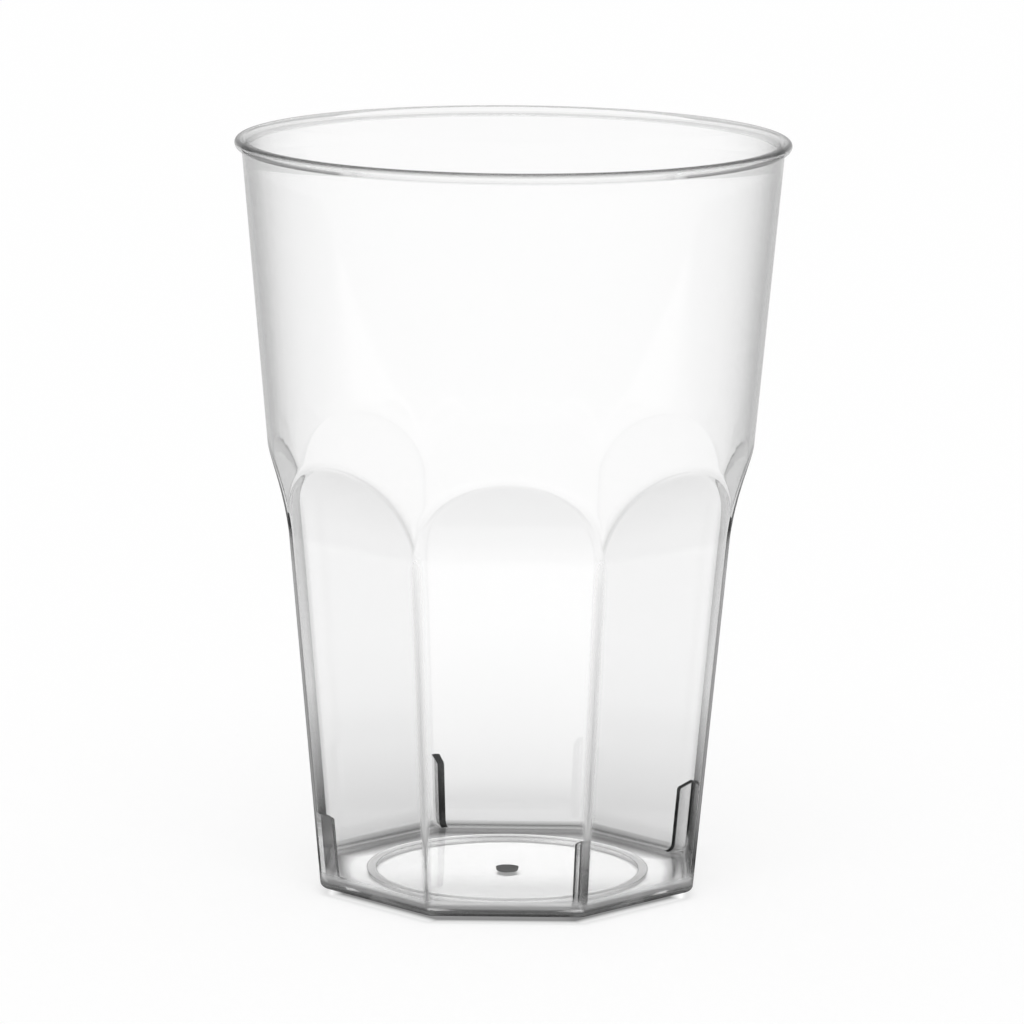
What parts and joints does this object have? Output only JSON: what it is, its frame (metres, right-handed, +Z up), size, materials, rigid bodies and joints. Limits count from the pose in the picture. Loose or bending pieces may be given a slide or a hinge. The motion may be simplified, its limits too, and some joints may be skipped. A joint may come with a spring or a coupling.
{
  "type": "faceted plastic tumbler",
  "caption": "Clear moulded plastic tumbler with a round tapered bowl, an arched faceted lower body and a flat floor.",
  "frame": {"origin": "on the axis, at the plane of the standing ring under the floor", "axes": "+Z up along the tumbler's axis, towards the rim; a facet faces -Y"},
  "size_m": [0.0844, 0.0844, 0.1154],
  "materials": {
    "clear_plastic": "clear, glossy"
  },
  "bodies": {
    "root": {"tumbler": "clear_plastic"}
  },
  "joints": []
}
